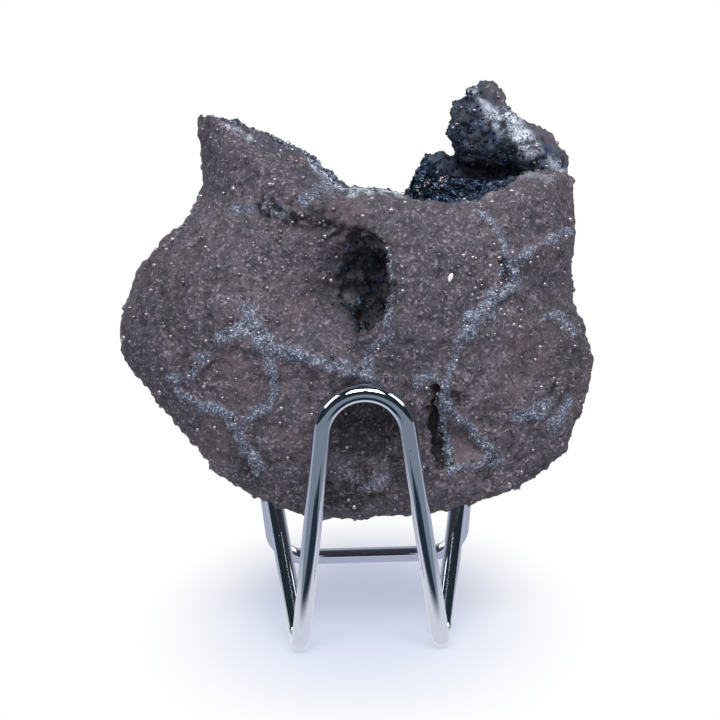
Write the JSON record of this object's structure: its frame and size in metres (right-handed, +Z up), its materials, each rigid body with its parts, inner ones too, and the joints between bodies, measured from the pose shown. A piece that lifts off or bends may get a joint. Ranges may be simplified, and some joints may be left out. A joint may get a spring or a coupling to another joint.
{
  "type": "pyrolusite with manganite specimen on wire stand",
  "caption": "Brown-black lobed pyrolusite nodule with blue-grey manganite seams, broken rim horns and an open crystal-lined hollow, leaning on an easel of bent chrome wire.",
  "frame": {"origin": "middle of the floor under the bounding box of the stone and its stand", "axes": "+Z up, +X to the right of a person facing the front of the stone, +Y from the front arch towards the rear cross bar"},
  "size_m": [0.078, 0.052, 0.0917],
  "materials": {
    "pyrolusite_skin": "granular, dull with tiny sparkles, blue-grey metallic along the seams",
    "dark_druse": "black, bright on the faces of the crystals",
    "chromed_wire": "polished"
  },
  "bodies": {
    "root": {"pyrolusite_mass": "pyrolusite_skin", "cavity_crystal_crust": "dark_druse", "wire_easel": "chromed_wire"}
  },
  "joints": []
}
